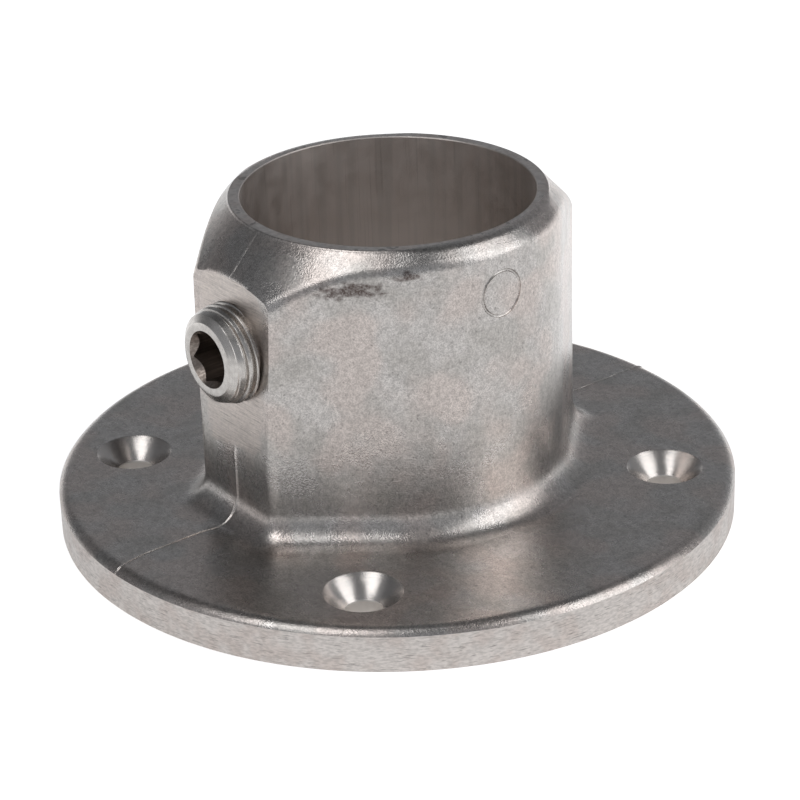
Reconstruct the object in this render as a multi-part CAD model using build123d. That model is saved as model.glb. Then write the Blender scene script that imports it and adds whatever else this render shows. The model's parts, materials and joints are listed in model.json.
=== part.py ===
from build123d import *
import math
import os

# Tube clamp base flange: a die-cast aluminium floor flange and its set screw.
#
# The frame stands on the mounting face: the origin is the centre of that face,
# +Z runs up the tube's axis and the set screw comes in from the -Y side.
# The mould parted on the plane x = 0. Millimetres throughout.

# --- tube and socket ---
TUBE_DIAMETER = 48.3  # the tube that the socket takes
TUBE_PLAY = 0.7  # on the diameter
SOCKET_HEIGHT = 57.5  # mounting face to the top of the collar
MOUTH_CHAMFER = 0.2  # at both ends of the bore
WALL = 4.4  # round part of the collar

# --- flats across the collar ---
SCREW_FLAT_REACH = 33.3  # tube axis to the flat that carries the set screw
SCREW_FLAT_WIDTH = 19.6  # before its corners are rounded
BACK_FLAT_REACH = 32.8  # tube axis to the flat opposite
BACK_FLAT_WIDTH = 17.6
CORNER_RADIUS = 3.0  # upright corners of both flats
LINISH_TILT = 1.8  # degrees that the belt-ground face leans in towards the top
LINISH_START = 20.3  # height at which the belt left the casting

# --- top of the collar ---
LAND_WIDTH = 1.9  # flat ring round the mouth, before its outer edge is broken
LAND_EDGE_CHAMFER = 0.4  # between the land and the crown
CROWN_ANGLE = 45.0  # degrees that the crown falls away from level
CROWN_EDGE_RADIUS = 2.8  # between the crown and the wall

# --- flange ---
FLANGE_DIAMETER = 116.0
FLANGE_THICKNESS = 7.6
FLANGE_EDGE_RADIUS = 2.6  # upper rim, as cast
TURNED_OFF = 0.38  # taken off the cast rim all round, on the radius
FLANGE_BASE_CHAMFER = 0.3  # lower rim
FOOT_RADIUS = 5.0  # between the collar and the flange

# --- fixing holes ---
HOLE_COUNT = 4
HOLE_CIRCLE = 92.0
HOLE_DIAMETER = 6.0
COUNTERSINK_DIAMETER = 12.8
COUNTERSINK_ANGLE = 90.0
FIRST_HOLE = 45.0  # degrees from +X

# --- set screw: 3/8 inch pipe thread, 19 turns to the inch ---
THREAD_DIAMETER = 16.66
THREAD_ROOT_DIAMETER = 14.85
THREAD_CLEARANCE = 0.05  # between the plain shank and the plain hole, on the radius
SCREW_HEIGHT = 38.2  # screw axis above the mounting face
SCREW_LENGTH = 12.6
SCREW_STANDOUT = 4.95  # screw face beyond the flat, at its height
SCREW_FACE_DIAMETER = 12.3
SCREW_CHAMFER_LENGTH = 0.8  # face end, down to the root of the thread
SCREW_LEAD_LENGTH = 3.2  # face to the first full crest
POINT_DIAMETER = 11.0  # ring that bites the tube
POINT_LENGTH = 2.0
CUP_DIAMETER = 9.0
CUP_DEPTH = 1.0
SOCKET_FLATS = 7.94  # hexagon key, across flats
SOCKET_MOUTH_DIAMETER = 9.7
SOCKET_MOUTH_ANGLE = 70.0  # of the countersink that opens the socket
SOCKET_DEPTH = 6.0
SOCKET_TURN = 13.0  # degrees from +X to a corner, about the screw axis
DRILL_POINT_ANGLE = 118.0

# --- worked out from the sizes above ---
BORE_RADIUS = (TUBE_DIAMETER + TUBE_PLAY) / 2
COLLAR_RADIUS = BORE_RADIUS + WALL
FLANGE_RADIUS = FLANGE_DIAMETER / 2
LAND_RADIUS = BORE_RADIUS + LAND_WIDTH
LINISH_SLOPE = math.tan(math.radians(LINISH_TILT))
SCREW_FLAT_AT_SCREW = SCREW_FLAT_REACH - (SCREW_HEIGHT - LINISH_START) * LINISH_SLOPE
SCREW_FACE_REACH = SCREW_FLAT_AT_SCREW + SCREW_STANDOUT
SCREW_RADIUS = THREAD_DIAMETER / 2 - THREAD_CLEARANCE
TOUCHING = 0.01  # edges and points nearer than this are taken as one
OVERRUN = 5.0  # how far cutters reach past what they cut


def tangent_point(half_width, reach):
    """Where the line from the corner of a flat at +reach touches the round wall."""
    corner_distance = math.hypot(half_width, reach)
    from_y_axis = math.atan2(half_width, reach) + math.acos(COLLAR_RADIUS / corner_distance)
    return COLLAR_RADIUS * math.sin(from_y_axis), COLLAR_RADIUS * math.cos(from_y_axis)


def collar_outline():
    """Round wall, drawn out by tangent lines to a flat on the -Y and the +Y side."""
    front_half, back_half = SCREW_FLAT_WIDTH / 2, BACK_FLAT_WIDTH / 2
    front_x, front_y = tangent_point(front_half, SCREW_FLAT_REACH)
    back_x, back_y = tangent_point(back_half, BACK_FLAT_REACH)
    with BuildSketch() as outline:
        with BuildLine():
            Line((-front_half, -SCREW_FLAT_REACH), (front_half, -SCREW_FLAT_REACH))
            Line((-back_half, BACK_FLAT_REACH), (back_half, BACK_FLAT_REACH))
            for side in (1, -1):
                low, high = (side * front_x, -front_y), (side * back_x, back_y)
                Line((side * front_half, -SCREW_FLAT_REACH), low)
                ThreePointArc(low, (side * COLLAR_RADIUS, 0), high)
                Line(high, (side * back_half, BACK_FLAT_REACH))
        make_face()
    return outline.sketch


def crown_cutter():
    """Ring that leaves the land and the sloping crown when it is cut away."""
    screw_corner = math.hypot(SCREW_FLAT_REACH, SCREW_FLAT_WIDTH / 2)
    back_corner = math.hypot(BACK_FLAT_REACH, BACK_FLAT_WIDTH / 2)
    reach = max(screw_corner, back_corner) + OVERRUN
    drop = (reach - LAND_RADIUS) * math.tan(math.radians(CROWN_ANGLE))
    with BuildPart() as cutter:
        with BuildSketch(Plane.XZ):
            Polygon(
                (LAND_RADIUS, SOCKET_HEIGHT),
                (reach, SOCKET_HEIGHT - drop),
                (reach, SOCKET_HEIGHT + OVERRUN),
                (LAND_RADIUS, SOCKET_HEIGHT + OVERRUN),
                align=None,
            )
        revolve(axis=Axis.Z)
    return cutter.part


def make_collar():
    """Collar as cast: outline drawn up, crown cut, corners and crown edge rounded."""
    collar = extrude(collar_outline(), SOCKET_HEIGHT)
    flats = (SCREW_FLAT_REACH, BACK_FLAT_REACH)
    corners = [
        edge
        for edge in collar.edges().filter_by(Axis.Z)
        if any(abs(abs(edge.center().Y) - reach) < TOUCHING for reach in flats)
    ]
    collar = fillet(corners, CORNER_RADIUS)
    collar -= crown_cutter()
    land = collar.faces().sort_by(Axis.Z)[-1]
    collar = chamfer(land.edges(), LAND_EDGE_CHAMFER)
    cones = [face for face in collar.faces() if face.geom_type == GeomType.CONE]
    crown = max(cones, key=lambda face: face.area)
    upper = max(edge.bounding_box().max.Z for edge in crown.edges())
    crown_edge = [
        edge for edge in crown.edges() if edge.bounding_box().min.Z < upper - TOUCHING
    ]
    return fillet(crown_edge, CROWN_EDGE_RADIUS)


def linish_cutter():
    """Block whose inner face is the belt-ground plane on the screw side."""
    size = 2 * FLANGE_DIAMETER
    block = Box(size, size, size, align=(Align.CENTER, Align.MAX, Align.MIN))
    tilted = Rot(-LINISH_TILT, 0, 0) * block
    return Pos(0, -SCREW_FLAT_REACH, LINISH_START) * tilted


def make_flange_plate():
    """Round plate with a rounded upper rim, turned to size, and a broken lower rim."""
    plate = extrude(Circle(FLANGE_RADIUS + TURNED_OFF), FLANGE_THICKNESS)
    plate = fillet(plate.edges().sort_by(Axis.Z)[-1], FLANGE_EDGE_RADIUS)
    plate &= extrude(Circle(FLANGE_RADIUS), FLANGE_THICKNESS)
    return chamfer(plate.edges().sort_by(Axis.Z)[0], FLANGE_BASE_CHAMFER)


def make_countersunk_hole():
    """Cutter for one fixing hole, its mouth on the flange's upper face."""
    half_angle = math.radians(COUNTERSINK_ANGLE / 2)
    hole, mouth = HOLE_DIAMETER / 2, COUNTERSINK_DIAMETER / 2
    depth = (mouth - hole) / math.tan(half_angle)
    above = mouth + OVERRUN * math.tan(half_angle)
    with BuildPart() as cutter:
        with BuildSketch(Plane.XZ):
            Polygon(
                (0, -OVERRUN),
                (hole, -OVERRUN),
                (hole, FLANGE_THICKNESS - depth),
                (above, FLANGE_THICKNESS + OVERRUN),
                (0, FLANGE_THICKNESS + OVERRUN),
                align=None,
            )
        revolve(axis=Axis.Z)
    return cutter.part


def make_bore():
    """Cutter for the tube's bore, with a chamfer at each mouth."""
    bore = BORE_RADIUS
    wide = bore + MOUTH_CHAMFER + OVERRUN
    with BuildPart() as cutter:
        with BuildSketch(Plane.XZ):
            Polygon(
                (0, -OVERRUN),
                (wide, -OVERRUN),
                (bore, MOUTH_CHAMFER),
                (bore, SOCKET_HEIGHT - MOUTH_CHAMFER),
                (wide, SOCKET_HEIGHT + OVERRUN),
                (0, SOCKET_HEIGHT + OVERRUN),
                align=None,
            )
        revolve(axis=Axis.Z)
    return cutter.part


def make_base_flange():
    """The whole casting with its machined holes."""
    casting = make_flange_plate() + make_collar()
    plate_top = [
        face
        for face in casting.faces().filter_by(Axis.Z)
        if abs(face.center().Z - FLANGE_THICKNESS) < TOUCHING
    ][0]
    foot = plate_top.inner_wires()[0].edges()
    casting = fillet(foot, FOOT_RADIUS)
    casting -= linish_cutter()
    casting -= make_bore()
    hole = make_countersunk_hole()
    for index in range(HOLE_COUNT):
        angle = FIRST_HOLE + index * 360 / HOLE_COUNT
        casting -= Rot(0, 0, angle) * Pos(HOLE_CIRCLE / 2, 0, 0) * hole
    tapped = Rot(90, 0, 0) * Cylinder(
        THREAD_DIAMETER / 2, FLANGE_RADIUS, align=(Align.CENTER, Align.CENTER, Align.MIN)
    )
    casting -= Pos(0, 0, SCREW_HEIGHT) * tapped
    return casting


def make_set_screw():
    """Headless screw along -Y: chamfered face with a hexagon socket, cup point inside."""
    face, point = 0.0, -SCREW_LENGTH
    mouth = SOCKET_MOUTH_DIAMETER / 2
    mouth_depth = mouth / math.tan(math.radians(SOCKET_MOUTH_ANGLE / 2))
    with BuildPart() as screw:
        with BuildSketch(Plane.XZ):
            Polygon(
                (0, point + CUP_DEPTH),
                (CUP_DIAMETER / 2, point),
                (POINT_DIAMETER / 2, point),
                (SCREW_RADIUS, point + POINT_LENGTH),
                (SCREW_RADIUS, face - SCREW_LEAD_LENGTH),
                (THREAD_ROOT_DIAMETER / 2, face - SCREW_CHAMFER_LENGTH),
                (SCREW_FACE_DIAMETER / 2, face),
                (0, face),
                align=None,
            )
        revolve(axis=Axis.Z)
    body = screw.part
    corner = SOCKET_FLATS / math.sqrt(3)
    hexagon = Rot(0, 0, SOCKET_TURN) * RegularPolygon(corner, 6)
    body -= Pos(0, 0, -SOCKET_DEPTH) * extrude(hexagon, SOCKET_DEPTH + OVERRUN)
    flats = SOCKET_FLATS / 2
    drill_depth = flats / math.tan(math.radians(DRILL_POINT_ANGLE / 2))
    body -= Pos(0, 0, -SOCKET_DEPTH) * Cone(
        0, flats, drill_depth, align=(Align.CENTER, Align.CENTER, Align.MAX)
    )
    body -= Cone(0, mouth, mouth_depth, align=(Align.CENTER, Align.CENTER, Align.MAX))
    upright = Pos(0, -SCREW_FACE_REACH, SCREW_HEIGHT) * Rot(90, 0, 0)
    return upright * body


os.makedirs("parts", exist_ok=True)
export_step(make_base_flange(), "parts/base_flange.step")
export_step(make_set_screw(), "parts/set_screw.step")
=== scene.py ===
"""Tube clamp base flange: the surfaces, finishes, floor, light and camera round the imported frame.

A die-cast aluminium floor flange with an upright tube socket, and the plated steel set screw that
clamps the tube. The casting is one closed surface, laid out as columns round the collar and rows
from the underside out over the rim, up to the mouth and down the bore; the screw is a helical
thread on a lathe form. Lengths are in metres, +Z runs up the tube's axis, and the set screw comes
in from the -Y side.
"""
import json
import math

import bpy
import numpy as np
from mathutils import Matrix, Vector


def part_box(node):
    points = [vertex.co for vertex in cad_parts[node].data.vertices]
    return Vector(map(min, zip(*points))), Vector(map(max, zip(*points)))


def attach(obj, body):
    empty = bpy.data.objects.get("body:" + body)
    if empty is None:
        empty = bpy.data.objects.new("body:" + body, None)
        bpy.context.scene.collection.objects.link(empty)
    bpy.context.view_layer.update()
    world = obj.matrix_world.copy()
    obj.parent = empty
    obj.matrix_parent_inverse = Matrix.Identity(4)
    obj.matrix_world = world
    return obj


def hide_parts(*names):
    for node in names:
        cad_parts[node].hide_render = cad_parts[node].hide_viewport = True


bl_info = {
    "name": "Tube clamp base flange",
    "version": (1, 0, 0),
    "blender": (4, 5, 0),
    "location": "View3D > Sidebar > Base flange",
    "description": "Dresses the packed tube clamp base flange with its surfaces and finishes",
    "category": "Object",
}

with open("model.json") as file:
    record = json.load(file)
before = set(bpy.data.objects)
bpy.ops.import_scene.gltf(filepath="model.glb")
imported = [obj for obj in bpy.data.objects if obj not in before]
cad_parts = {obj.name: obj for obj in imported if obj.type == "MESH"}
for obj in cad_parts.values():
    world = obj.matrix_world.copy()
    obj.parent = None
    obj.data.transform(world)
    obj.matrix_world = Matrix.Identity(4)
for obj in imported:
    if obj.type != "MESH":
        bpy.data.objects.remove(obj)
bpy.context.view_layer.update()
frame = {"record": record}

MM = 0.001
FULL_TURN = 2 * math.pi
MOUNTS = {mount["name"]: mount for mount in frame["record"]["mounts"]}
CAST_LOW, CAST_HIGH = (np.array(corner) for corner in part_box("base_flange"))
SCREW_LOW, SCREW_HIGH = (np.array(corner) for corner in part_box("set_screw"))
BORE_RADIUS = MOUNTS["tube_socket"]["dims"]["r_mm"] * MM
HOLE_RADIUS = MOUNTS["floor_screws"]["dims"]["hole_r_mm"] * MM
HOLE_CIRCLE_RADIUS = MOUNTS["floor_screws"]["dims"]["pcd_mm"] * MM / 2
HOLE_COUNT = MOUNTS["floor_screws"]["dims"]["count"]
FLANGE_RADIUS = min(-CAST_LOW[0], CAST_HIGH[0], -CAST_LOW[1], CAST_HIGH[1])
SOCKET_HEIGHT = CAST_HIGH[2]
SCREW_HEIGHT = (SCREW_LOW[2] + SCREW_HIGH[2]) / 2
SCREW_RADIUS = (SCREW_HIGH[2] - SCREW_LOW[2]) / 2
SCREW_FACE_Y = SCREW_LOW[1]
SCREW_LENGTH = SCREW_HIGH[1] - SCREW_LOW[1]
SCREW_CENTRE = (0, 0, SCREW_HEIGHT)
SCREW_AXIS = (0, -1, 0)


def linear(hex_colour):
    """An sRGB hex colour as linear red, green and blue, with an alpha of one."""
    parts = [int(hex_colour[start:start + 2], 16) / 255 for start in (1, 3, 5)]
    return (*(part / 12.92 if part <= 0.04045 else ((part + 0.055) / 1.055) ** 2.4 for part in parts), 1.0)


def length(name, description, millimetres):
    """A length property, given in millimetres and kept in metres."""
    return bpy.props.FloatProperty(
        name=name, description=description, default=millimetres * MM, min=0.0, unit="LENGTH", precision=5
    )


def colour(name, description, hex_colour):
    """A colour property, given as sRGB hex and kept as linear values."""
    return bpy.props.FloatVectorProperty(
        name=name, description=description, default=linear(hex_colour), size=4, min=0.0, max=1.0,
        subtype="COLOR",
    )


# ---------------------------------------------------------------- sizes and colours


class CastingSizes(bpy.types.PropertyGroup):
    """Sizes of the casting that its mounts and its box don't give."""

    wall: length("Wall", "Round part of the collar", 4.4)
    screw_flat_reach: length("Screw flat reach", "Tube axis to the flat that carries the screw", 33.3)
    screw_flat_width: length("Screw flat width", "Before its corners are rounded", 19.6)
    back_flat_reach: length("Back flat reach", "Tube axis to the flat opposite", 32.8)
    back_flat_width: length("Back flat width", "Before its corners are rounded", 17.6)
    corner_radius: length("Corner radius", "Upright corners of both flats", 3.0)
    land_width: length("Land width", "Ring round the mouth, out to where the crown would meet it", 2.1)
    land_rounding: length("Land rounding", "How much of that ring is rounded off by the flats", 0.3)
    side_rounding: length("Side rounding", "How much of that ring is rounded off between them", 1.2)
    crown_drop: length("Crown drop", "How much lower the crown starts on the sides of the flats", 0.3)
    crown_steepness: bpy.props.FloatProperty(
        name="Crown steepness", description="How much steeper than 45 degrees it runs out to the flats",
        default=0.08, min=0.0,
    )
    crown_edge_radius: length("Crown edge radius", "Between the crown and the wall", 2.8)
    mouth_chamfer: length("Mouth chamfer", "At both ends of the bore", 0.15)
    flange_thickness: length("Flange thickness", "Under the screw heads", 7.6)
    rim_radius: length("Rim radius", "Upper edge of the flange as cast", 2.6)
    rim_allowance: length("Rim allowance", "Turned off the cast rim", 0.38)
    base_chamfer: length("Base chamfer", "Lower edge of the flange", 0.3)
    foot_radius: length("Foot radius", "Between the collar and the flange", 5.0)
    linish_start: length("Linish start", "Height at which the belt left the casting", 20.3)
    linish_slope: bpy.props.FloatProperty(
        name="Linish slope", description="How far the ground flat leans in, as a slope",
        default=math.tan(math.radians(1.8)), min=0.0,
    )
    seam_height: length("Seam height", "Ridge on the mould's parting line, where it is boldest", 0.22)
    seam_width: length("Seam width", "Ridge on the mould's parting line, where it is boldest", 0.6)
    seam_aside: length("Seam aside", "How far that ridge strays on the front of the flange", 0.7)
    countersink_radius: length("Countersink radius", "Mouth of each fixing hole", 6.4)
    witness_radius: length("Witness radius", "Ring left by an ejector pin", 3.85)
    witness_groove: length("Witness groove", "Half width of that ring's groove", 0.26)
    witness_height: length("Witness height", "Centre of that ring above the base", 48.2)


class ScrewSizes(bpy.types.PropertyGroup):
    """Sizes of the set screw that its box doesn't give."""

    pitch: length("Pitch", "3/8 inch pipe thread, 19 turns to the inch", 25.4 / 19)
    thread_depth: length("Thread depth", "Crest to root, on the radius", 0.86)
    face_radius: length("Face radius", "Flat outer end", 6.15)
    chamfer_length: length("Chamfer length", "Outer end, down to the root", 0.8)
    lead_length: length("Lead length", "Face to the first full crest", 3.2)
    socket_flats: length("Socket flats", "Hexagon key, across flats", 7.94)
    socket_depth: length("Socket depth", "Face to the end of the flats", 6.0)
    mouth_radius: length("Mouth radius", "Countersink that opens the socket", 4.85)
    mouth_slope: bpy.props.FloatProperty(
        name="Mouth slope", description="Half angle of that countersink",
        default=math.radians(35), subtype="ANGLE",
    )
    socket_turn: bpy.props.FloatProperty(
        name="Socket turn", description="Angle of a corner of the hexagon above level",
        default=math.radians(13), subtype="ANGLE",
    )
    point_radius: length("Point radius", "Ring that bites the tube", 5.5)
    point_length: length("Point length", "Taper down to that ring", 2.0)
    cup_radius: length("Cup radius", "Hollow inside that ring", 4.5)
    cup_depth: length("Cup depth", "Hollow inside that ring", 1.0)
    hole_clearance: length("Hole clearance", "Screw thread to tapped thread", 0.05)


class FinishColours(bpy.types.PropertyGroup):
    """Colours of the finishes."""

    cast: colour("Cast skin", "Blasted aluminium casting", "#c5c1be")
    cast_shade: colour("Cast shade", "Duller patches of the casting", "#bab6b2")
    cast_blush: colour("Cast blush", "Warmer patches of the casting", "#c9c0bb")
    # Painted highlight: lightens the ridge on the parting line, and the lower walls of the fixing holes as
    # painted light from the floor.
    seam: colour("Seam", "Ridge on the parting line, rubbed brighter", "#e8e4e0")
    turned: colour("Turned", "Turned aluminium", "#cec8c4")
    linished: colour("Linished", "Belt-ground aluminium", "#d4cbc4")
    bored: colour("Bored", "Sides of the bore", "#d0c8c3")
    stain: colour("Stain", "Burnt-on die lubricant", "#4a3c38")
    steel: colour("Plated steel", "Set screw", "#d0ccc8")
    # Darker than the plated steel: painted shade down the socket's recess.
    socket: colour("Socket", "Inside of the hexagon socket", "#9a918a")
    floor: colour("Floor", "Floor and backdrop", "#f4f4f4")


# ---------------------------------------------------------------- meshes


def mesh_object(name, points, quads, fans=()):
    """A mesh object at the origin from an (n, 3) array of points and an (m, 4) array of quads.

    Each fan is a closed ring of point indices, with the index of the point that it runs to.
    """
    faces = [tuple(quad) for quad in quads.tolist()]
    for ring, tip in fans:
        faces += [(int(a), int(b), int(tip)) for a, b in zip(ring, np.roll(ring, -1))]
    mesh = bpy.data.meshes.new(name)
    mesh.from_pydata(points.tolist(), [], faces)
    mesh.update()
    piece = bpy.data.objects.new(name, mesh)
    bpy.context.scene.collection.objects.link(piece)
    return piece


def grid_quads(rows, columns, closed_rows):
    """Quads of a grid whose columns close on themselves, and its rows too if asked.

    The point in row r and column c has the index r * columns + c.
    """
    row = np.arange(rows if closed_rows else rows - 1)[:, None]
    column = np.arange(columns)[None, :]
    here, beside = row * columns, (row + 1) % rows * columns
    after = (column + 1) % columns
    corners = (here + column, here + after, beside + after, beside + column)
    return np.stack(np.broadcast_arrays(*corners), axis=-1).reshape(-1, 4)


def lathe(name, profile, centre, axis, sides):
    """Closed surface of revolution about an axis through centre, from a profile of (along, radius).

    Its first and last profile points lie on the axis.
    """
    along, radius = np.array(profile).T
    turn = np.arange(sides) * FULL_TURN / sides
    radii = np.broadcast_to(radius[1:-1, None], (len(along) - 2, sides))
    return ring_stack(name, along[1:-1, None], radii, turn, (along[0], along[-1]), centre, axis)


def ring_stack(name, along, radii, turn, ends, centre, axis):
    """Closed surface through rings of radius radii[row, side] at a distance along[row] on an axis.

    Point = centre + along * axis + radius * (cos(turn) * across + sin(turn) * second), where across
    is +X, and across, second and axis are a right-handed set. ends are the two places where it
    closes on the axis.
    """
    axis, across = np.array(axis, float), np.array((1.0, 0.0, 0.0))
    second = np.cross(axis, across)
    spread = radii[..., None] * (np.cos(turn)[:, None] * across + np.sin(turn)[:, None] * second)
    points = np.array(centre) + np.broadcast_to(along, radii.shape)[..., None] * axis + spread
    rows, sides = radii.shape
    tips = np.array(centre) + np.array(ends)[:, None] * axis
    points = np.vstack((points.reshape(-1, 3), tips))
    low_ring, high_ring = np.arange(sides), (rows - 1) * sides + np.arange(sides)
    fans = ((low_ring[::-1], rows * sides), (high_ring, rows * sides + 1))
    return mesh_object(name, points, grid_quads(rows, sides, False), fans)


def keep(piece, name, values):
    """Keep a number for each point on the mesh, where a finish can read it by name."""
    attribute = piece.data.attributes.new(name, "FLOAT", "POINT")
    attribute.data.foreach_set("value", values.astype(np.float32).ravel())


def smooth(piece, degrees):
    """Smooth shading, with edges sharper than the angle kept crisp."""
    piece.data.polygons.foreach_set("use_smooth", np.ones(len(piece.data.polygons), bool))
    piece.data.set_sharp_from_angle(angle=math.radians(degrees))
    piece.data.update()


def cut(piece, cutters):
    """Take the cutters out of a piece and delete them."""
    for cutter in cutters:
        boolean = piece.modifiers.new("cut", "BOOLEAN")
        boolean.operation = "DIFFERENCE"
        boolean.solver = "EXACT"
        boolean.material_mode = "TRANSFER"
        boolean.object = cutter
    bpy.context.view_layer.update()
    graph = bpy.context.evaluated_depsgraph_get()
    finished = bpy.data.meshes.new_from_object(piece.evaluated_get(graph), depsgraph=graph)
    piece.modifiers.clear()
    piece.data = finished
    for cutter in cutters:
        bpy.data.objects.remove(cutter)


def steps(start, stop, count):
    """count values from start to stop, as a column."""
    return np.linspace(start, stop, count)[:, None]


# ---------------------------------------------------------------- casting


def blend_between(low, high, value):
    """0 at low, 1 at high, and a smooth S between them, whichever of the two is greater."""
    share = np.clip((value - low) / (high - low), 0, 1)
    return share * share * (3 - 2 * share)


def unit(vectors):
    """Vectors of length one."""
    return vectors / np.linalg.norm(vectors, axis=-1, keepdims=True)


def at_height(plan, height):
    """Points over places in plan, at one height for all of them or for each row or place."""
    heights = np.broadcast_to(height, plan.shape[:-1])[..., None]
    return np.concatenate((plan, heights), axis=-1)


def ring_rows(radius, height, direction):
    """Rows of points at a radius and a height, along unit plan directions; one row for each radius."""
    return at_height(radius[..., None] * direction, height)


def collar_outline(sizes):
    """Plan outline of the collar as points and outward normals, anticlockwise from the -Y seam.

    It is a chain of arcs joined by straight runs: a small arc at each corner of the two flats and
    a large arc of the wall's radius on each side, each about its own centre. The places stand
    closest on the seams, whose ridge is narrow.
    """
    wall_radius = BORE_RADIUS + sizes.wall
    corner = sizes.corner_radius
    corner_gap, wall_gap, run_gap = 0.16 * MM, 0.42 * MM, 0.7 * MM
    seam_x = np.linspace(0, 0.5 * MM, 9)

    def corner_arc(reach, width, side):
        """Normal angle of the tangent run beside a flat, and the centre of the corner's arc."""
        distance = math.hypot(reach, width / 2)
        lean = math.atan2(width / 2, reach) + math.acos(wall_radius / distance)
        middle = reach - corner
        across = (wall_radius - corner - middle * math.cos(lean)) / math.sin(lean)
        return side * (math.pi / 2 - lean), (across, side * middle)

    def seam_places(reach, side):
        """Places and normals on a flat, from the seam out."""
        flat = np.ones(len(seam_x))
        return np.stack((seam_x, side * reach * flat, 0 * flat, side * flat), axis=1)

    def run_to(stop):
        """Places and normals between the last ones so far and stop, evenly spaced."""
        start = half[-1][-1]
        count = max(1, round(math.dist(start[:2], stop[:2]) / run_gap))
        share = np.linspace(0, 1, count + 1)[1:-1, None]
        return start * (1 - share) + stop * share

    front_lean, front = corner_arc(sizes.screw_flat_reach, sizes.screw_flat_width, -1)
    back_lean, back = corner_arc(sizes.back_flat_reach, sizes.back_flat_width, 1)
    arcs = (
        (front, corner, -math.pi / 2, front_lean, corner_gap),
        ((0, 0), wall_radius, front_lean, back_lean, wall_gap),
        (back, corner, back_lean, math.pi / 2, corner_gap),
    )
    half = [seam_places(sizes.screw_flat_reach, -1)]
    for centre, radius, start, stop, gap in arcs:
        turn = np.linspace(start, stop, max(4, round(radius * (stop - start) / gap) + 1))
        normal = np.stack((np.cos(turn), np.sin(turn)), axis=1)
        arc = np.hstack((np.array(centre) + radius * normal, normal))
        half += [run_to(arc[0]), arc]
    back_seam = seam_places(sizes.back_flat_reach, 1)[::-1]
    half += [run_to(back_seam[0]), back_seam]
    right = np.vstack(half)
    left = right[-2:0:-1] * np.array((-1, 1, -1, 1))
    outline = np.vstack((right, left))
    return outline[:, :2], unit(outline[:, 2:])


def flange_bands(sizes, outline, normal):
    """The flange's bands of rows, each with its finish, from under the bore out, up and in to the wall.

    On top, each column runs straight from rim_side, its direction on the rim, to the end of the
    foot, and the columns by the seams run side by side. The rim is an arc, point = centre +
    radius * (cos(turn), sin(turn)), of which the lathe took the outermost part, and the foot is a
    quarter arc that curves the other way, point = centre - radius * (cos(turn), sin(turn)).
    """
    top, rim_radius, turned_off = sizes.flange_thickness, sizes.rim_radius, sizes.rim_allowance
    seam_side = unit(outline)
    foot_end = outline + sizes.foot_radius * normal
    narrowing = np.abs(foot_end[:, 1]) / FLANGE_RADIUS
    away = blend_between(0.8 * MM, 9 * MM, np.abs(foot_end[:, 0]))
    rim_side = unit(foot_end * np.stack((narrowing * (1 - away) + away, np.ones(len(away))), axis=1))

    bore_edge = BORE_RADIUS + sizes.mouth_chamfer
    rim_foot = FLANGE_RADIUS - sizes.base_chamfer
    share = steps(0, 1, 10)
    radius = bore_edge + (rim_foot - bore_edge) * share
    side = unit((1 - share)[..., None] * seam_side + share[..., None] * rim_side)
    underside = at_height(radius[..., None] * side, 0)

    turned_height = top - rim_radius + math.sqrt(rim_radius ** 2 - (rim_radius - turned_off) ** 2)
    radius = np.array([rim_foot] + [FLANGE_RADIUS] * 4)
    height = np.array([0, sizes.base_chamfer, turned_height / 3, turned_height * 2 / 3, turned_height])
    turned = ring_rows(radius[:, None], height[:, None], rim_side)

    rim_centre = FLANGE_RADIUS - (rim_radius - turned_off)
    turn = steps(math.acos(1 - turned_off / rim_radius), math.pi / 2, 12)
    rim = ring_rows(rim_centre + rim_radius * np.cos(turn), top - rim_radius * (1 - np.sin(turn)), rim_side)

    share = steps(0, 1, 16)[..., None]
    flat = at_height((1 - share) * rim_centre * rim_side + share * foot_end, top)

    turn = steps(math.pi / 2, 0, 16)
    offset = sizes.foot_radius * (1 - np.cos(turn))[..., None]
    foot = at_height(outline + offset * normal, top + sizes.foot_radius * (1 - np.sin(turn)))
    return [("cast", underside), ("turned", turned), ("cast", rim), ("cast", flat), ("cast", foot)]


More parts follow.
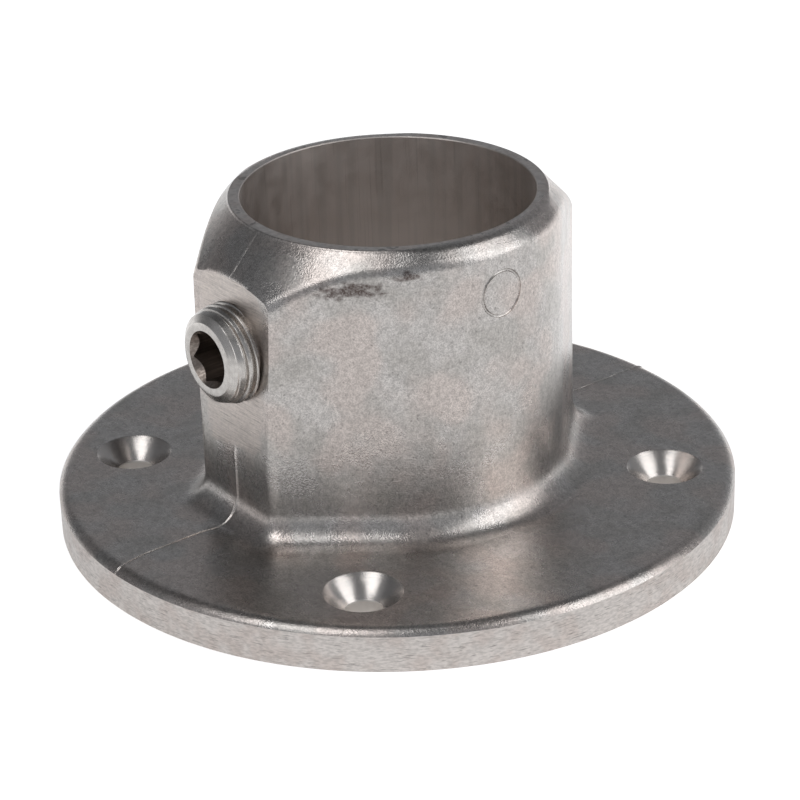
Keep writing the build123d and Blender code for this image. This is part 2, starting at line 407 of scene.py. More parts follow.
def collar_bands(sizes, outline, normal):
    """The collar's bands of rows, each with its finish, from the foot up, over the crown and down the bore.

    The crown is a cone: height = cone_top - fall * (radius - land radius). beside is 1 beside the
    flats, where it starts lower and falls more steeply, and 0 between them. A ball rolled along
    the inside of the wall under the cone gives the edge: point = its centre + its radius * a
    direction turned evenly from the wall's normal to the cone's. Cubic Bezier curves, the sums of
    weights * radii and weights * heights, round the crown into the land.
    """
    seam_side = unit(outline)
    mouth = BORE_RADIUS + sizes.mouth_chamfer
    land_radius = BORE_RADIUS + sizes.land_width
    # Degrees round from the nearer flat's middle, and where the crown leaves the front and back flats.
    from_flats = np.degrees(np.arctan2(np.abs(outline[:, 0]), np.abs(outline[:, 1])))
    leaving = np.where(outline[:, 1] < 0, 52, 42)
    between = blend_between(leaving, leaving + 15, from_flats)
    beside = 1 - between
    cone_top = SOCKET_HEIGHT - sizes.crown_drop * beside
    fall = 1 + sizes.crown_steepness * beside
    ball = sizes.crown_edge_radius
    middle = outline - ball * normal
    reach = np.linalg.norm(middle, axis=1)
    middle_height = cone_top - fall * (reach - land_radius) - ball * np.sqrt(1 + fall ** 2)
    share = steps(0, 1, 30)
    height = (sizes.flange_thickness + sizes.foot_radius) * (1 - share) + middle_height * share
    wall = at_height(np.broadcast_to(outline, height.shape + (2,)), height)

    level = at_height(normal, 0)
    slope = unit(at_height(fall[:, None] * unit(middle), 1))
    angle = np.arccos(np.clip(np.sum(level * slope, axis=1), -1, 1))
    share = steps(0, 1, 14)
    swing = np.sin((1 - share) * angle)[..., None] * level + np.sin(share * angle)[..., None] * slope
    edge = at_height(middle, middle_height) + ball * swing / np.sin(angle)[:, None]

    crown_start = edge[-1, :, :2]
    rounding = sizes.land_rounding * beside + sizes.side_rounding * between
    land_end = land_radius - rounding
    crown_end = land_radius + 0.3 * sizes.land_rounding * beside + 0.6 * sizes.side_rounding * between
    share = steps(0, 1, 12)
    side = unit((1 - share)[..., None] * unit(crown_start) + share[..., None] * seam_side)
    radius = np.linalg.norm(crown_start, axis=1) * (1 - share) + crown_end * share
    crown = at_height(radius[..., None] * side, cone_top - fall * (radius - land_radius))

    share = steps(0, 1, 13)
    # How far each handle of the curves reaches.
    pull = 0.45 * rounding
    end_height = cone_top - fall * (crown_end - land_radius)
    radii = (crown_end, crown_end - pull, land_end + 1.4 * pull, land_end)
    heights = (end_height, end_height + fall * pull, SOCKET_HEIGHT, SOCKET_HEIGHT)
    weights = ((1 - share) ** 3, 3 * share * (1 - share) ** 2, 3 * share ** 2 * (1 - share), share ** 3)
    land_edge = ring_rows(
        sum(weight * radius for weight, radius in zip(weights, radii)),
        sum(weight * height for weight, height in zip(weights, heights)),
        seam_side,
    )
    land = ring_rows(land_end + (mouth - land_end) * steps(0, 1, 4), SOCKET_HEIGHT, seam_side)
    inside = steps(SOCKET_HEIGHT - sizes.mouth_chamfer, sizes.mouth_chamfer, 26)
    bore = ring_rows(
        np.vstack(([[mouth]], np.full_like(inside, BORE_RADIUS), [[mouth]])),
        np.vstack(([[SOCKET_HEIGHT]], inside, [[0]])),
        seam_side,
    )
    return [
        ("cast", wall), ("cast", edge), ("cast", crown), ("cast", land_edge), ("turned", land),
        ("bored", bore),
    ]


def surface_normals(points):
    """Unit normals of a closed grid: the cross products of the differences along it and up it."""
    along = np.roll(points, -1, axis=1) - np.roll(points, 1, axis=1)
    up = np.roll(points, -1, axis=0) - np.roll(points, 1, axis=0)
    return unit(np.cross(along, up))


def raise_seam(points, first_row, last_row, sizes):
    """Lift a ridge of the casting's skin on the plane x = 0.

    Height = seam height * exp(-(2.2 * x / width)^2), a little higher and lower along its length,
    wide and bold on the foot and the flats, half as wide on the flange and the crown, and faint on
    the crown. On the flange in front, the ridge and the points round it stand a little aside.
    Returns the height as a share of the boldest, weighted up where the ridge is thin and down where
    it is bold: how strongly the ridge is lightened as a painted highlight.
    """
    band = points[first_row:last_row]
    x, y, z = np.moveaxis(band.copy(), -1, 0)
    travel = np.hypot(y, z) / MM
    front = blend_between(-36 * MM, -41 * MM, y) * blend_between(-57 * MM, -51 * MM, y)
    aside = sizes.seam_aside * front * (z < sizes.flange_thickness + 0.5 * MM)
    band[..., 0] -= aside * np.exp(-((x / (4 * MM)) ** 2))
    bold = blend_between(8.2 * MM, 12 * MM, z) * blend_between(50 * MM, 46 * MM, z)
    faint = 1 - 0.5 * blend_between(46 * MM, 49 * MM, z)
    uneven = 0.8 + 0.12 * np.sin(travel * 0.9) + 0.1 * np.sin(travel * 2.3 + 1)
    width = sizes.seam_width * (0.5 + 0.5 * bold)
    ridge = np.exp(-((x / (width / 2.2)) ** 2))
    height = sizes.seam_height * (0.75 + 0.25 * bold) * faint * uneven * ridge
    fade = np.ones(len(band))
    fade[:4] = np.linspace(0.1, 1, 4)
    fade[-12:] = np.linspace(1, 0, 12)
    height *= fade[:, None]
    normals = surface_normals(points)[first_row:last_row]
    points[first_row:last_row] = band + height[..., None] * normals
    seam = np.zeros(points.shape[:2])
    seam[first_row:last_row] = height / sizes.seam_height / (0.75 + 0.6 * bold)
    return seam


def linish(points, sizes):
    """Grind the screw flat: above the belt's start, no point stays outside a plane that leans in.

    The plane is y = -reach + slope * above, where above = z - start - tilt * x, because the belt
    was held a little askew. Returns which points the belt touched, and how fully: less within a
    little of its start and of both sides.
    """
    x, y, z = np.moveaxis(points, -1, 0)
    tilt, hair = 0.13, 0.004 * MM
    above = z - sizes.linish_start - tilt * x
    plane = -sizes.screw_flat_reach + sizes.linish_slope * above
    touched = (above > 0) & (y < plane + hair)
    points[..., 1] = np.where(touched, plane, y)
    half_width = np.max(np.abs(x) * touched, axis=1, keepdims=True)
    belt = blend_between(0, 1.8 * MM, above) * blend_between(0, 4.5 * MM, half_width - np.abs(x))
    return touched, belt * touched


def countersunk_hole(sizes, index, finish):
    """Cutter for one fixing hole: straight below, a 90 degree cone above, with broken edges."""
    turn = FULL_TURN * (index + 0.5) / HOLE_COUNT
    centre = (HOLE_CIRCLE_RADIUS * math.cos(turn), HOLE_CIRCLE_RADIUS * math.sin(turn), 0)
    top, mouth = sizes.flange_thickness, sizes.countersink_radius
    knee = top - (mouth - HOLE_RADIUS)
    below, above = 5 * MM, 2 * MM
    lower_edge, bend, upper_edge = 0.15 * MM, 0.1 * MM, 0.12 * MM
    profile = (
        (-below, 0),
        (-below, HOLE_RADIUS + below),
        (lower_edge, HOLE_RADIUS),
        (knee - bend, HOLE_RADIUS),
        (knee + bend, HOLE_RADIUS + bend),
        (top - upper_edge, mouth - upper_edge),
        (top, mouth + 0.5 * upper_edge),
        (top + above, mouth + 4 * above),
        (top + above, 0),
    )
    cutter = lathe(f"fixing_hole_{index}", profile, centre, (0, 0, 1), 96)
    cutter.data.materials.append(finish)
    return cutter


def witness_groove(sizes, finish):
    """Cutter for the ejector pin's ring: a thin tube bent round the wall of the collar.

    A point at the angle a round the ring and b round the tube stands at the distance
    ring + tube * cos(b) from the ring's centre, measured on the wall, and tube * sin(b) off it.
    """
    wall_radius = BORE_RADIUS + sizes.wall
    ring_sides, tube_sides = 96, 10
    around = (np.arange(ring_sides) * FULL_TURN / ring_sides)[None, :]
    about = (np.arange(tube_sides) * FULL_TURN / tube_sides)[:, None]
    spread = sizes.witness_radius + sizes.witness_groove * np.cos(about)
    turn = spread * np.cos(around) / wall_radius
    radius = wall_radius + sizes.witness_groove * np.sin(about)
    height = sizes.witness_height + spread * np.sin(around)
    places = np.broadcast_arrays(radius * np.cos(turn), radius * np.sin(turn), height)
    points = np.stack(places, axis=-1).reshape(-1, 3)
    groove = mesh_object("witness_groove", points, grid_quads(tube_sides, ring_sides, True))
    groove.data.materials.append(finish)
    return groove


def build_casting(sizes, screw, colours):
    """The whole casting: bands of rows joined into one closed grid, ridged, ground and drilled."""
    finishes = {name: finish(colours) for name, finish in CASTING_FINISHES.items()}
    outline, normal = collar_outline(sizes)
    rows, row_finish, starts = [], [], []
    for name, band in flange_bands(sizes, outline, normal) + collar_bands(sizes, outline, normal):
        starts.append(len(row_finish))
        rows.append(band[1:] if rows else band)
        row_finish += [name] * len(rows[-1])
    points = np.concatenate(rows)[:-1]
    # The ridge runs from the rim, the third band, to a few rows short of the land, the tenth.
    rim_row, land_row = starts[2], starts[9]
    seam = raise_seam(points, rim_row, land_row - 6, sizes)
    touched, belt = linish(points, sizes)
    count, columns = points.shape[:2]
    quads = grid_quads(count, columns, True)
    names = ["cast", "turned", "bored", "linished"]
    index = np.repeat([names.index(name) for name in row_finish[1:]], columns)
    ground = touched.reshape(-1)[quads].all(axis=1)
    index[ground] = names.index("linished")
    casting = mesh_object("casting", points.reshape(-1, 3), quads)
    # The seam share sets how strongly the cast finish lightens the ridge as a painted highlight.
    keep(casting, "seam", seam * (1 - touched))
    keep(casting, "belt", belt)
    for name in names:
        casting.data.materials.append(finishes[name])
    casting.data.polygons.foreach_set("material_index", index.astype(np.int32))
    holes = [countersunk_hole(sizes, number, finishes["countersunk"]) for number in range(HOLE_COUNT)]
    tapped = tapped_hole(screw, finishes["bored"])
    cut(casting, holes + [tapped, witness_groove(sizes, finishes["cast"])])
    smooth(casting, 32)
    return casting


# ---------------------------------------------------------------- set screw


def thread_height(sizes, along, turn):
    """How far a pipe thread stands above its root, from 0 to 1, along and round the screw.

    The phase is along / pitch - turn / full turn, which makes a right-hand helix about the axis;
    the 55 degree flanks make a triangle wave of it, and its crests and roots are rounded off.
    """
    phase = along / sizes.pitch - turn / FULL_TURN
    wave = 2 * np.abs(phase - np.floor(phase) - 0.5)
    return 0.5 - 0.5 * np.cos(np.pi * np.clip(wave * 1.3 - 0.15, 0, 1))


def tapped_hole(sizes, finish):
    """Cutter for the tapped hole: the screw's thread, grown by the clearance, through the wall."""
    outer, depth, sides = 40 * MM, 20 * MM, 96
    along = (outer - np.arange(0, depth, sizes.pitch / 8))[::-1]
    turn = np.arange(sides) * FULL_TURN / sides
    root = SCREW_RADIUS - sizes.thread_depth + sizes.hole_clearance
    radii = root + sizes.thread_depth * thread_height(sizes, along[:, None], turn)
    ends = (along[0], along[-1])
    cutter = ring_stack("tapped_hole", along[:, None], radii, turn, ends, SCREW_CENTRE, SCREW_AXIS)
    cutter.data.materials.append(finish)
    return cutter


def build_screw(sizes, colours):
    """The set screw: point and cup, threaded shank, chamfered face and hexagon socket.

    Every ring is a radius round the axis, worked out for each side: the thread's helix, cut down
    by the tapers at both ends, then the face, and then the socket, whose radius is the larger of
    the hexagon's, (flats / 2) / cos(angle from the middle of a flat), and the countersink's.
    """
    sides, rows_per_turn = 192, 30
    turn = sizes.socket_turn + np.arange(sides) * FULL_TURN / sides
    face, tip = -SCREW_FACE_Y, -SCREW_FACE_Y - SCREW_LENGTH
    root = SCREW_RADIUS - sizes.thread_depth
    along = np.linspace(tip, face, round(SCREW_LENGTH / (sizes.pitch / rows_per_turn)))
    thread = root + sizes.thread_depth * thread_height(sizes, along[:, None], turn)
    inner = np.interp(along, (tip, tip + sizes.point_length), (sizes.point_radius, SCREW_RADIUS))
    outer = np.interp(
        face - along, (0, sizes.chamfer_length, sizes.lead_length), (sizes.face_radius, root, SCREW_RADIUS)
    )
    shank = np.minimum(thread, np.minimum(inner, outer)[:, None])

    flat_middle = np.mod(turn - sizes.socket_turn, math.pi / 3) - math.pi / 6
    drill_radius = sizes.socket_flats / 2
    drill_depth = drill_radius / math.tan(math.radians(59))
    hexagon = drill_radius / np.cos(flat_middle)
    mouth_depth = (sizes.mouth_radius - drill_radius) / math.tan(sizes.mouth_slope)
    depth = np.concatenate((
        np.linspace(0, mouth_depth * 1.05, 24),
        np.linspace(mouth_depth * 1.4, sizes.socket_depth, 8),
    ))
    countersink = sizes.mouth_radius - depth * math.tan(sizes.mouth_slope)
    socket = np.maximum(hexagon[None, :], countersink[:, None])

    around = np.ones((1, sides))
    radii = np.concatenate((
        sizes.cup_radius * np.array([[0.03], [0.4], [0.8], [1]]) * around,
        shank,
        (sizes.mouth_radius + 0.3 * (sizes.face_radius - sizes.mouth_radius)) * around,
        socket,
        drill_radius * np.array([[0.99], [0.03]]) * around,
    ))
    drill_start = face - sizes.socket_depth
    places = np.concatenate((
        tip + sizes.cup_depth * np.array([0.97, 0.6, 0.2, 0]),
        along,
        [face],
        face - depth,
        drill_start - drill_depth * np.array([0.01, 0.97]),
    ))
    ends = (tip + sizes.cup_depth, drill_start - drill_depth)
    screw = ring_stack("socket_screw", places[:, None], radii, turn, ends, SCREW_CENTRE, SCREW_AXIS)
    for finish in SCREW_FINISHES:
        screw.data.materials.append(finish(colours))
    # From the socket's mouth inward the faces take the darker socket finish, painted shade of the recess.
    socket_row = len(radii) - 2 - len(socket)
    index = (np.arange(len(screw.data.polygons)) // sides >= socket_row).astype(np.int32)
    # The last two rings of faces are fans: the first closes the cup, the second the socket.
    index[-2 * sides:-sides] = 0
    screw.data.polygons.foreach_set("material_index", index)
    smooth(screw, 42)
    return screw


# ---------------------------------------------------------------- finishes

SMOOTH = {"interpolation_type": "SMOOTHSTEP"}


def add(tree, kind, inputs=(), **settings):
    """Add a node with its settings. Each input takes a value, an output, or a node's first output."""
    node = tree.nodes.new("ShaderNode" + kind)
    for name, value in settings.items():
        setattr(node, name, value)
    for key, value in dict(inputs).items():
        if isinstance(value, bpy.types.Node):
            value = value.outputs[0]
        if isinstance(value, bpy.types.NodeSocket):
            tree.links.new(value, node.inputs[key])
        else:
            node.inputs[key].default_value = value
    return node


def metal(name, base, roughness):
    """A new metal: its tree, its shader and its Object coordinates in millimetres.

    The colour and the roughness are the plain ones that the metal's patterns then vary.
    """
    material = bpy.data.materials.new(name)
    material.use_nodes = True
    tree = material.node_tree
    shader = tree.nodes["Principled BSDF"]
    shader.inputs["Base Color"].default_value = base
    shader.inputs["Metallic"].default_value = 1.0
    shader.inputs["Roughness"].default_value = roughness
    metres = add(tree, "TexCoord").outputs["Object"]
    place = add(tree, "VectorMath", {0: metres, "Scale": 1 / MM}, operation="SCALE")
    return material, tree, shader, place


def grain(tree, place, size, stretch=(1, 1, 1), detail=2.0):
    """Noise with features of about a size in millimetres, drawn out along each axis by stretch."""
    scale = tuple(1 / (size * pull) for pull in stretch)
    mapped = add(tree, "Mapping", {"Vector": place, "Scale": scale})
    return add(tree, "TexNoise", {"Vector": mapped, "Scale": 1.0, "Detail": detail})


def tinted(tree, tone, other, pattern, low, high, least=0.0, most=1.0):
    """A colour that goes over to another, from its least share where a pattern is low to its most."""
    share = add(tree, "MapRange", {0: pattern, 1: low, 2: high, 3: least, 4: most}, **SMOOTH)
    return add(tree, "Mix", {0: share, 6: tone, 7: other}, data_type="RGBA").outputs[2]


def shaded(tree, tone, *patterns):
    """A colour made darker and lighter by patterns of (pattern, low, high, factor low, factor high)."""
    shade = 1.0
    for pattern, low, high, dark, light in patterns:
        factor = add(tree, "MapRange", {0: pattern, 1: low, 2: high, 3: dark, 4: light}, **SMOOTH)
        shade = add(tree, "Math", {0: shade, 1: factor}, operation="MULTIPLY")
    grey = add(tree, "CombineColor", {0: shade, 1: shade, 2: shade})
    mix = add(tree, "Mix", {0: 1.0, 6: tone, 7: grey}, data_type="RGBA", blend_type="MULTIPLY")
    return mix.outputs[2]


def relief(tree, *patterns):
    """Height in metres of patterns of (pattern, depth in millimetres), lying evenly about zero."""
    height = -0.5 * MM * sum(depth for pattern, depth in patterns)
    for pattern, depth in patterns:
        height = add(tree, "Math", {0: pattern, 1: depth * MM, 2: height}, operation="MULTIPLY_ADD")
    return height


def dress(tree, shader, tone, roughness, height):
    """Give a metal's shader its colour, its roughness and its relief."""
    bump = add(tree, "Bump", {"Strength": 1.0, "Distance": 1.0, "Height": height})
    tree.links.new(bump.outputs[0], shader.inputs["Normal"])
    tree.links.new(tone, shader.inputs["Base Color"])
    tree.links.new(roughness.outputs[0], shader.inputs["Roughness"])


def blasted_skin(tree, place, colours):
    """Colour, roughness and height of the blasted casting.

    Shot blasting leaves an even peen whose dimples break highlights up into sparkle; the metal
    clouds over a few millimetres, and streaks of die flow run across it. The real dimples are
    about 0.15 mm across, too fine to show, so they are drawn at 0.27 mm.
    """
    peen = grain(tree, place, 0.27)
    fleck = grain(tree, place, 0.9)
    pit = grain(tree, place, 0.6, detail=3.0)
    cloud = grain(tree, place, 7.0, detail=3.0)
    blush = grain(tree, place, 9.0, detail=1.0)
    flow = grain(tree, place, 0.5, (9, 1, 1))
    tone = tinted(tree, colours.cast, colours.cast_shade, cloud, 0.4, 0.65)
    tone = tinted(tree, tone, colours.cast_blush, blush, 0.42, 0.62)
    tone = shaded(
        tree, tone, (peen, 0.34, 0.66, 0.84, 1.12), (fleck, 0.34, 0.66, 0.9, 1.07),
        (flow, 0.3, 0.7, 0.97, 1.03), (pit, 0.7, 0.62, 0.72, 1.0),
    )
    roughness = add(tree, "MapRange", {0: cloud, 1: 0.3, 2: 0.7, 3: 0.25, 4: 0.31}, **SMOOTH)
    height = relief(tree, (peen, 0.04), (fleck, 0.019), (cloud, 0.05), (flow, 0.005))
    return tone, roughness, height


def blasted_cast_aluminium(colours):
    """Die-cast aluminium as shot-blasted: warm grey and sparkling, with burnt lubricant by the crown.

    Each burnt patch is an ellipsoid about a middle, with a reach along each axis, in millimetres;
    noise makes its edge ragged. The parting line's ridge is lightened as a painted highlight.
    """
    material, tree, shader, place = metal("blasted_cast_aluminium", colours.cast, 0.32)
    tone, roughness, height = blasted_skin(tree, place, colours)
    patches = (((18.5, -21.8, 51.8), (6.0, 6.0, 1.5)), ((23.9, -14.9, 54.0), (2.3, 2.3, 0.9)))
    away = []
    for middle, reach in patches:
        offset = add(tree, "VectorMath", {0: place, 1: middle}, operation="SUBTRACT")
        squashed = add(tree, "VectorMath", {0: offset, 1: reach}, operation="DIVIDE")
        away.append(add(tree, "VectorMath", {0: squashed}, operation="LENGTH").outputs["Value"])
    nearest = add(tree, "Math", dict(enumerate(away)), operation="MINIMUM")
    edge = grain(tree, place, 0.9, (2, 2, 1), detail=5.0)
    ragged = add(tree, "Math", {0: edge, 1: 2.4, 2: nearest}, operation="MULTIPLY_ADD")
    patch = add(tree, "MapRange", {0: ragged, 1: 2.4, 2: 1.6, 3: 0.0, 4: 0.9}, **SMOOTH)
    soot = grain(tree, place, 0.35, detail=3.0)
    speckle = add(tree, "MapRange", {0: soot, 1: 0.36, 2: 0.62, 3: 0.65, 4: 1.0}, **SMOOTH)
    burnt = add(tree, "Math", {0: patch, 1: speckle}, operation="MULTIPLY")
    tone = add(tree, "Mix", {0: burnt, 6: tone, 7: colours.stain}, data_type="RGBA").outputs[2]
    # Painted highlight: the ridge on the parting line is lightened towards the seam colour.
    seam = add(tree, "Attribute", attribute_name="seam").outputs["Fac"]
    tone = tinted(tree, tone, colours.seam, seam, 0.1, 0.9, 0.0, 0.5)
    dress(tree, shader, tone, roughness, height)
    return material


def turned_aluminium(colours):
    """Aluminium turned on a lathe, then tumbled: a mottled grey with a few short scratches round it.

    The tool's marks, some 0.08 mm apart, are too fine to show and are drawn at 0.16 mm.
    """
    material, tree, shader, place = metal("turned_aluminium", colours.turned, 0.36)
    scratch = grain(tree, place, 0.16, (14, 14, 1))
    fleck = grain(tree, place, 0.35, (2.5, 2.5, 1), detail=3.0)
    cloud = grain(tree, place, 4.0)
    tone = tinted(tree, colours.turned, colours.cast_blush, cloud, 0.4, 0.65)
    tone = shaded(tree, tone, (fleck, 0.34, 0.66, 0.86, 1.08), (scratch, 0.34, 0.38, 0.6, 1.0))
    roughness = add(tree, "MapRange", {0: cloud, 1: 0.3, 2: 0.7, 3: 0.32, 4: 0.4}, **SMOOTH)
    dress(tree, shader, tone, roughness, relief(tree, (scratch, 0.006), (fleck, 0.02)))
    return material


def linished_aluminium(colours):
    """Aluminium ground on a belt: level scratches, fading into the blasted skin lower down.

    The belt's grit leaves scratches some 0.1 mm wide, drawn at 0.13 mm, and deeper ones at 0.22 mm.
    Where the belt only touched the skin, noise makes the change between the two ragged.
    """
    material, tree, shader, place = metal("linished_aluminium", colours.linished, 0.34)
    cast_tone, cast_roughness, cast_height = blasted_skin(tree, place, colours)
    scratch = grain(tree, place, 0.13, (22, 22, 1))
    score = grain(tree, place, 0.22, (18, 18, 1))
    fleck = grain(tree, place, 0.5, detail=3.0)
    tone = tinted(tree, colours.linished, colours.cast_blush, fleck, 0.34, 0.66)
    tone = shaded(tree, tone, (scratch, 0.3, 0.7, 0.8, 1.12), (score, 0.34, 0.4, 0.7, 1.0))
    roughness = add(tree, "MapRange", {0: scratch, 1: 0.3, 2: 0.7, 3: 0.32, 4: 0.42}, **SMOOTH)
    height = relief(tree, (scratch, 0.01), (score, 0.012), (fleck, 0.012))
    height = add(tree, "Math", {0: cast_height, 1: 0.6, 2: height}, operation="MULTIPLY_ADD")
    belt = add(tree, "Attribute", attribute_name="belt").outputs["Fac"]
    patchy = grain(tree, place, 0.7, (4, 4, 1))
    ragged = add(tree, "Math", {0: patchy, 1: 0.8, 2: belt}, operation="MULTIPLY_ADD")
    ground = add(tree, "MapRange", {0: ragged, 1: 0.5, 2: 1.2, 3: 0.0, 4: 0.85}, **SMOOTH)
    tone = add(tree, "Mix", {0: ground, 6: cast_tone, 7: tone}, data_type="RGBA").outputs[2]
    roughness = add(tree, "Mix", {0: ground, 2: cast_roughness, 3: roughness}, data_type="FLOAT")
    height = add(tree, "Mix", {0: ground, 2: cast_height, 3: height}, data_type="FLOAT")
    dress(tree, shader, tone, roughness, height)
    return material


def drawn_bore(colours):
    """Cast bore: darker and duller, with drag lines from mouth to foot where the core was drawn out."""
    material, tree, shader, place = metal("drawn_bore_aluminium", colours.bored, 0.46)
    score = grain(tree, place, 0.35, (1, 1, 60), detail=3.0)
    drag = grain(tree, place, 1.6, (1, 1, 25))
    cloud = grain(tree, place, 3.0, detail=3.0)
    tone = tinted(tree, colours.cast_shade, colours.bored, drag, 0.35, 0.6, 0.6, 1.0)
    tone = shaded(tree, tone, (score, 0.34, 0.39, 0.9, 1.0))
    roughness = add(tree, "MapRange", {0: cloud, 1: 0.3, 2: 0.7, 3: 0.42, 4: 0.5}, **SMOOTH)
    dress(tree, shader, tone, roughness, relief(tree, (score, 0.005), (drag, 0.002), (cloud, 0.008)))
    return material


def countersunk_aluminium(colours):
    """Freshly countersunk aluminium: the brightest cut, ringed by the tool, and duller in the hole below,
    where it is lightened to the seam colour as painted light from the floor.

    The rings, some 0.05 mm apart, are too fine to show and are drawn at 0.1 mm.
    """
    material, tree, shader, place = metal("countersunk_aluminium", colours.turned, 0.3)
    ring = grain(tree, place, 0.1, (25, 25, 1))
    cloud = grain(tree, place, 1.2)
    tone = tinted(tree, colours.cast, colours.turned, ring, 0.3, 0.6)
    hole, cone = 4.1, 4.4
    up = add(tree, "SeparateXYZ", {0: place}).outputs["Z"]
    # Painted light: below the countersink the hole's wall goes over to the light seam colour, as if lit
    # from the floor.
    tone = tinted(tree, tone, colours.seam, up, hole, cone, 1.0, 0.0)
    roughness = add(tree, "MapRange", {0: up, 1: hole, 2: cone, 3: 0.6, 4: 0.26}, **SMOOTH)
    dress(tree, shader, tone, roughness, relief(tree, (ring, 0.009), (cloud, 0.02)))
    return material


def plated_steel(colours):
    """Satin zinc on turned steel: a clean grey metal with fine marks round its axis.

    The marks, some 0.05 mm wide, are too fine to show and are drawn at 0.12 mm.
    """
    material, tree, shader, place = metal("plated_steel", colours.steel, 0.26)
    mark = grain(tree, place, 0.12, (25, 1, 25))
    wear = grain(tree, place, 0.9, detail=3.0)
    tone = tinted(tree, colours.steel, colours.cast_shade, wear, 0.35, 0.6, 0.0, 0.5)
    tone = shaded(tree, tone, (mark, 0.3, 0.7, 0.93, 1.05))
    roughness = add(tree, "MapRange", {0: wear, 1: 0.3, 2: 0.7, 3: 0.22, 4: 0.3}, **SMOOTH)
    dress(tree, shader, tone, roughness, relief(tree, (mark, 0.001), (wear, 0.004)))
    return material


def broached_steel(colours):
    """Dull steel down the broached socket, scored along the broach's stroke, darkened as painted shade."""
    material, tree, shader, place = metal("broached_steel", colours.socket, 0.34)
    score = grain(tree, place, 0.3, (1, 20, 1), detail=3.0)
    # The socket colour is darker than the plated steel: painted shade of the recess.
    tone = tinted(tree, colours.socket, colours.stain, score, 0.3, 0.6, 0.0, 0.4)
    roughness = add(tree, "MapRange", {0: score, 1: 0.3, 2: 0.7, 3: 0.3, 4: 0.42}, **SMOOTH)
    dress(tree, shader, tone, roughness, relief(tree, (score, 0.006)))
    return material


CASTING_FINISHES = {
    "cast": blasted_cast_aluminium,
    "turned": turned_aluminium,
    "bored": drawn_bore,
    "linished": linished_aluminium,
    "countersunk": countersunk_aluminium,
}
SCREW_FINISHES = (plated_steel, broached_steel)


# ---------------------------------------------------------------- stage

# Level direction from the object to the back of the studio, away from the camera.
REARWARD = (-0.79, 0.61, 0)
# Level direction to the dark gap between the back of the studio and its left side.
GAPWARD = (-0.94, -0.34, 0)


def place_camera():
    """The camera looks down at the collar from the screw's side, over the +X side.

    It stands on the line back from the origin, a little across and up from it, and rolled a little.
    """
    azimuth, elevation, roll = math.radians(52.3), math.radians(25.81), math.radians(-1.77)
    distance, across, up = 485.5 * MM, 0.9 * MM, 16.98 * MM
    level = math.cos(elevation)
    back = Vector((math.sin(azimuth) * level, -math.cos(azimuth) * level, math.sin(elevation)))
    right = Vector((math.cos(azimuth), math.sin(azimuth), 0))
    above = back.cross(right)
    camera = bpy.data.objects.new("camera", bpy.data.cameras.new("camera"))
    camera.data.sensor_width = 36.0
    camera.data.lens = 125.9
    camera.data.clip_start = 0.01
    turned_right = right * math.cos(roll) + above * math.sin(roll)
    turned_up = above * math.cos(roll) - right * math.sin(roll)
    turn = Matrix((turned_right, turned_up, back)).transposed().to_4x4()
    camera.matrix_world = Matrix.Translation(back * distance + right * across + above * up) @ turn
    bpy.context.scene.collection.objects.link(camera)
    bpy.context.scene.camera = camera


def softbox(name, bearing, elevation, width, height, radiance):
    """A rectangular lamp at a bearing from +X and an elevation in degrees, facing the collar.

    Its power is radiance * pi * area, so that it looks equally bright at any size.
    """
    distance = 0.9
    target = Vector((0, 0, SOCKET_HEIGHT / 2))
    turn, rise = math.radians(bearing), math.radians(elevation)
    away = Vector((math.cos(turn) * math.cos(rise), math.sin(turn) * math.cos(rise), math.sin(rise)))
    light = bpy.data.lights.new(name, "AREA")
    light.shape = "RECTANGLE"
    light.size = width
    light.size_y = height
    light.energy = radiance * math.pi * width * height
    holder = bpy.data.objects.new(name, light)
    facing = (-away).to_track_quat("-Z", "Y").to_matrix().to_4x4()
    holder.matrix_world = Matrix.Translation(target + distance * away) @ facing
    bpy.context.scene.collection.objects.link(holder)


def make_world():
    """Studio surround that lights the object, and plain white to the camera.

    Brightness = ramp * side + glow. The ramp runs from the horizon up and is darkest overhead; the
    side is a factor over 1 behind the camera and under 1 in the gap on the left; and the glow is
    the foot of the sweep, near the horizon at the back.
    """
    world = bpy.data.worlds.new("studio")
    world.use_nodes = True
    bpy.context.scene.world = world
    tree = world.node_tree
    direction = add(tree, "TexCoord").outputs["Generated"]
    height = add(tree, "SeparateXYZ", {0: direction}).outputs["Z"]
    ramp = add(tree, "ValToRGB", {0: height})
    stops = ((0.0, 0.265), (0.2, 0.265), (0.55, 0.25), (0.8, 0.12), (1.0, 0.1))
    elements = ramp.color_ramp.elements
    elements[0].position = stops[0][0]
    elements[1].position = stops[-1][0]
    for position, level in stops[1:-1]:
        elements.new(position)
    for element, (position, level) in zip(elements, stops):
        element.position = position
        element.color = (0.97 * level, level, 1.05 * level, 1)
    flat = add(tree, "VectorMath", {0: direction, 1: (1, 1, 0)}, operation="MULTIPLY")
    bearing = add(tree, "VectorMath", {0: flat}, operation="NORMALIZE")
    rearward = add(tree, "VectorMath", {0: bearing, 1: REARWARD}, operation="DOT_PRODUCT").outputs["Value"]
    gapward = add(tree, "VectorMath", {0: bearing, 1: GAPWARD}, operation="DOT_PRODUCT").outputs["Value"]
    side = shaded(
        tree, ramp.outputs[0], (rearward, -0.8, 0.3, 1.35, 1.0), (gapward, 0.75, 0.96, 1.0, 0.55)
    )
    back = add(tree, "MapRange", {0: rearward, 1: -0.7, 2: 0.5, 3: 0.1, 4: 1.0}, **SMOOTH)
    low = add(tree, "MapRange", {0: height, 1: 0.18, 2: 0.0, 3: 0.0, 4: 0.66}, **SMOOTH)
    glow = add(tree, "Math", {0: back, 1: low}, operation="MULTIPLY")
    lit = add(tree, "VectorMath", {0: side, 1: glow}, operation="ADD")
    seen = add(tree, "LightPath").outputs["Is Camera Ray"]
    mix = add(tree, "Mix", {0: seen, 6: lit, 7: (1, 1, 1, 1)}, data_type="RGBA")
    tree.links.new(mix.outputs[2], tree.nodes["Background"].inputs["Color"])


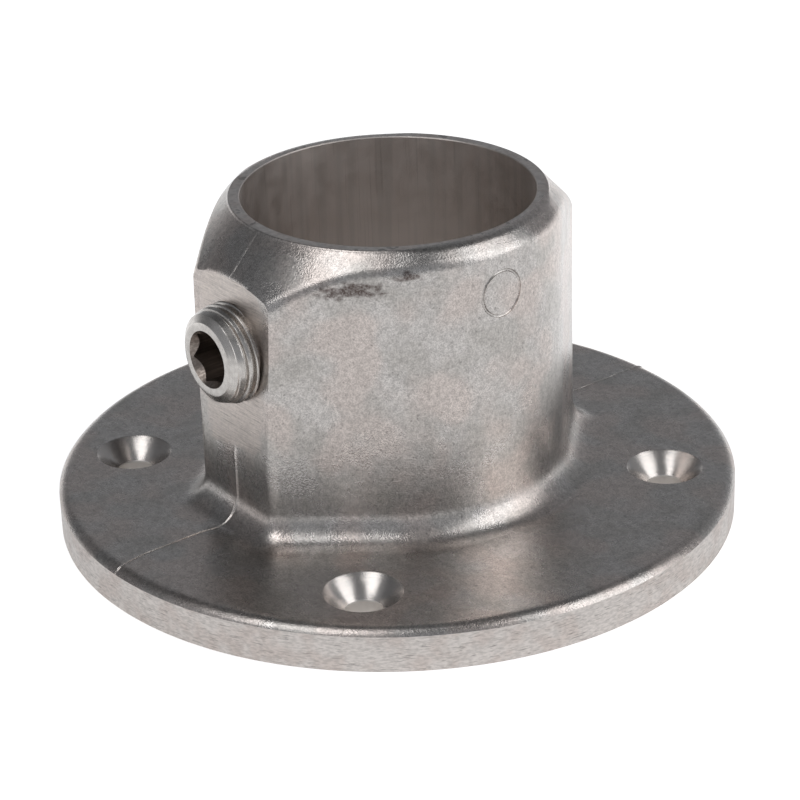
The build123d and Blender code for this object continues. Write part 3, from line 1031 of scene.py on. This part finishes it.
def make_floor(colours):
    """A pale floor, plain white to the camera but for the object's shadow.

    In reflections it is lit as a studio's sweep is: brighter from front to back, and brightest
    behind the object.
    """
    reach, drop = 4.0, 0.02 * MM
    corners = np.array([(-reach, -reach), (reach, -reach), (reach, reach), (-reach, reach)])
    floor = mesh_object("floor", at_height(corners, -drop), np.array([[0, 1, 2, 3]]))
    material = bpy.data.materials.new("painted_floor")
    material.use_nodes = True
    tree = material.node_tree
    shader = tree.nodes["Principled BSDF"]
    shader.inputs["Base Color"].default_value = colours.floor
    shader.inputs["Roughness"].default_value = 0.9
    shader.inputs["Specular IOR Level"].default_value = 0.0
    shader.inputs["Emission Color"].default_value = (1, 1, 1, 1)
    place = add(tree, "TexCoord").outputs["Object"]
    rearward = add(tree, "VectorMath", {0: place, 1: REARWARD}, operation="DOT_PRODUCT").outputs["Value"]
    front = add(tree, "MapRange", {0: rearward, 1: -0.45, 2: -0.02, 3: 0.25, 4: 0.44}, **SMOOTH)
    back = add(tree, "MapRange", {0: rearward, 1: 0.0, 2: 0.12, 3: 0.0, 4: 0.36}, **SMOOTH)
    sweep = add(tree, "Math", {0: front, 1: back}, operation="ADD")
    ray = add(tree, "LightPath").outputs
    mirrored = add(tree, "Math", {0: ray["Is Glossy Ray"], 1: sweep}, operation="MULTIPLY")
    glow = add(tree, "Math", {0: ray["Is Camera Ray"], 1: 0.74, 2: mirrored}, operation="MULTIPLY_ADD")
    tree.links.new(glow.outputs[0], shader.inputs["Emission Strength"])
    floor.data.materials.append(material)


# ---------------------------------------------------------------- operators


class FLANGE_OT_casting(bpy.types.Operator):
    """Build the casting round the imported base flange."""

    bl_idname = "flange.casting"
    bl_label = "Casting"

    def execute(self, context):
        scene = context.scene
        casting = build_casting(scene.flange_casting, scene.flange_screw, scene.flange_colours)
        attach(casting, "flange")
        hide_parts("base_flange")
        return {"FINISHED"}


class FLANGE_OT_screw(bpy.types.Operator):
    """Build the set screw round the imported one."""

    bl_idname = "flange.screw"
    bl_label = "Set screw"

    def execute(self, context):
        screw = build_screw(context.scene.flange_screw, context.scene.flange_colours)
        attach(screw, "screw")
        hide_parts("set_screw")
        return {"FINISHED"}


class FLANGE_OT_stage(bpy.types.Operator):
    """Set up the floor, the light and the camera."""

    bl_idname = "flange.stage"
    bl_label = "Stage"

    def execute(self, context):
        context.scene.view_settings.view_transform = "Standard"
        make_world()
        make_floor(context.scene.flange_colours)
        softbox("left_softbox", bearing=-80, elevation=56, width=0.50, height=0.55, radiance=1.97)
        softbox("right_softbox", bearing=37, elevation=32, width=0.66, height=0.95, radiance=1.64)
        place_camera()
        return {"FINISHED"}


class FLANGE_PT_panel(bpy.types.Panel):
    """Lists the pieces of the base flange and their settings."""

    bl_label = "Base flange"
    bl_idname = "FLANGE_PT_panel"
    bl_space_type = "VIEW_3D"
    bl_region_type = "UI"
    bl_category = "Base flange"

    def draw(self, context):
        for operator in OPERATORS:
            self.layout.operator(operator.bl_idname)
        for name in GROUPS:
            group = getattr(context.scene, name)
            box = self.layout.box()
            for key in group.bl_rna.properties.keys():
                if key not in ("rna_type", "name"):
                    box.prop(group, key)


GROUPS = {
    "flange_casting": CastingSizes,
    "flange_screw": ScrewSizes,
    "flange_colours": FinishColours,
}
OPERATORS = (FLANGE_OT_casting, FLANGE_OT_screw, FLANGE_OT_stage)


def register():
    """Register the classes and hang the settings on the scene."""
    for item in (*GROUPS.values(), *OPERATORS, FLANGE_PT_panel):
        bpy.utils.register_class(item)
    for name, group in GROUPS.items():
        setattr(bpy.types.Scene, name, bpy.props.PointerProperty(type=group))


def unregister():
    """Take everything away again."""
    for name in GROUPS:
        delattr(bpy.types.Scene, name)
    for item in (FLANGE_PT_panel, *OPERATORS, *GROUPS.values()):
        bpy.utils.unregister_class(item)


def main():
    """Build every piece and the stage."""
    register()
    bpy.ops.flange.casting()
    bpy.ops.flange.screw()
    bpy.ops.flange.stage()


if __name__ == "__main__":
    main()
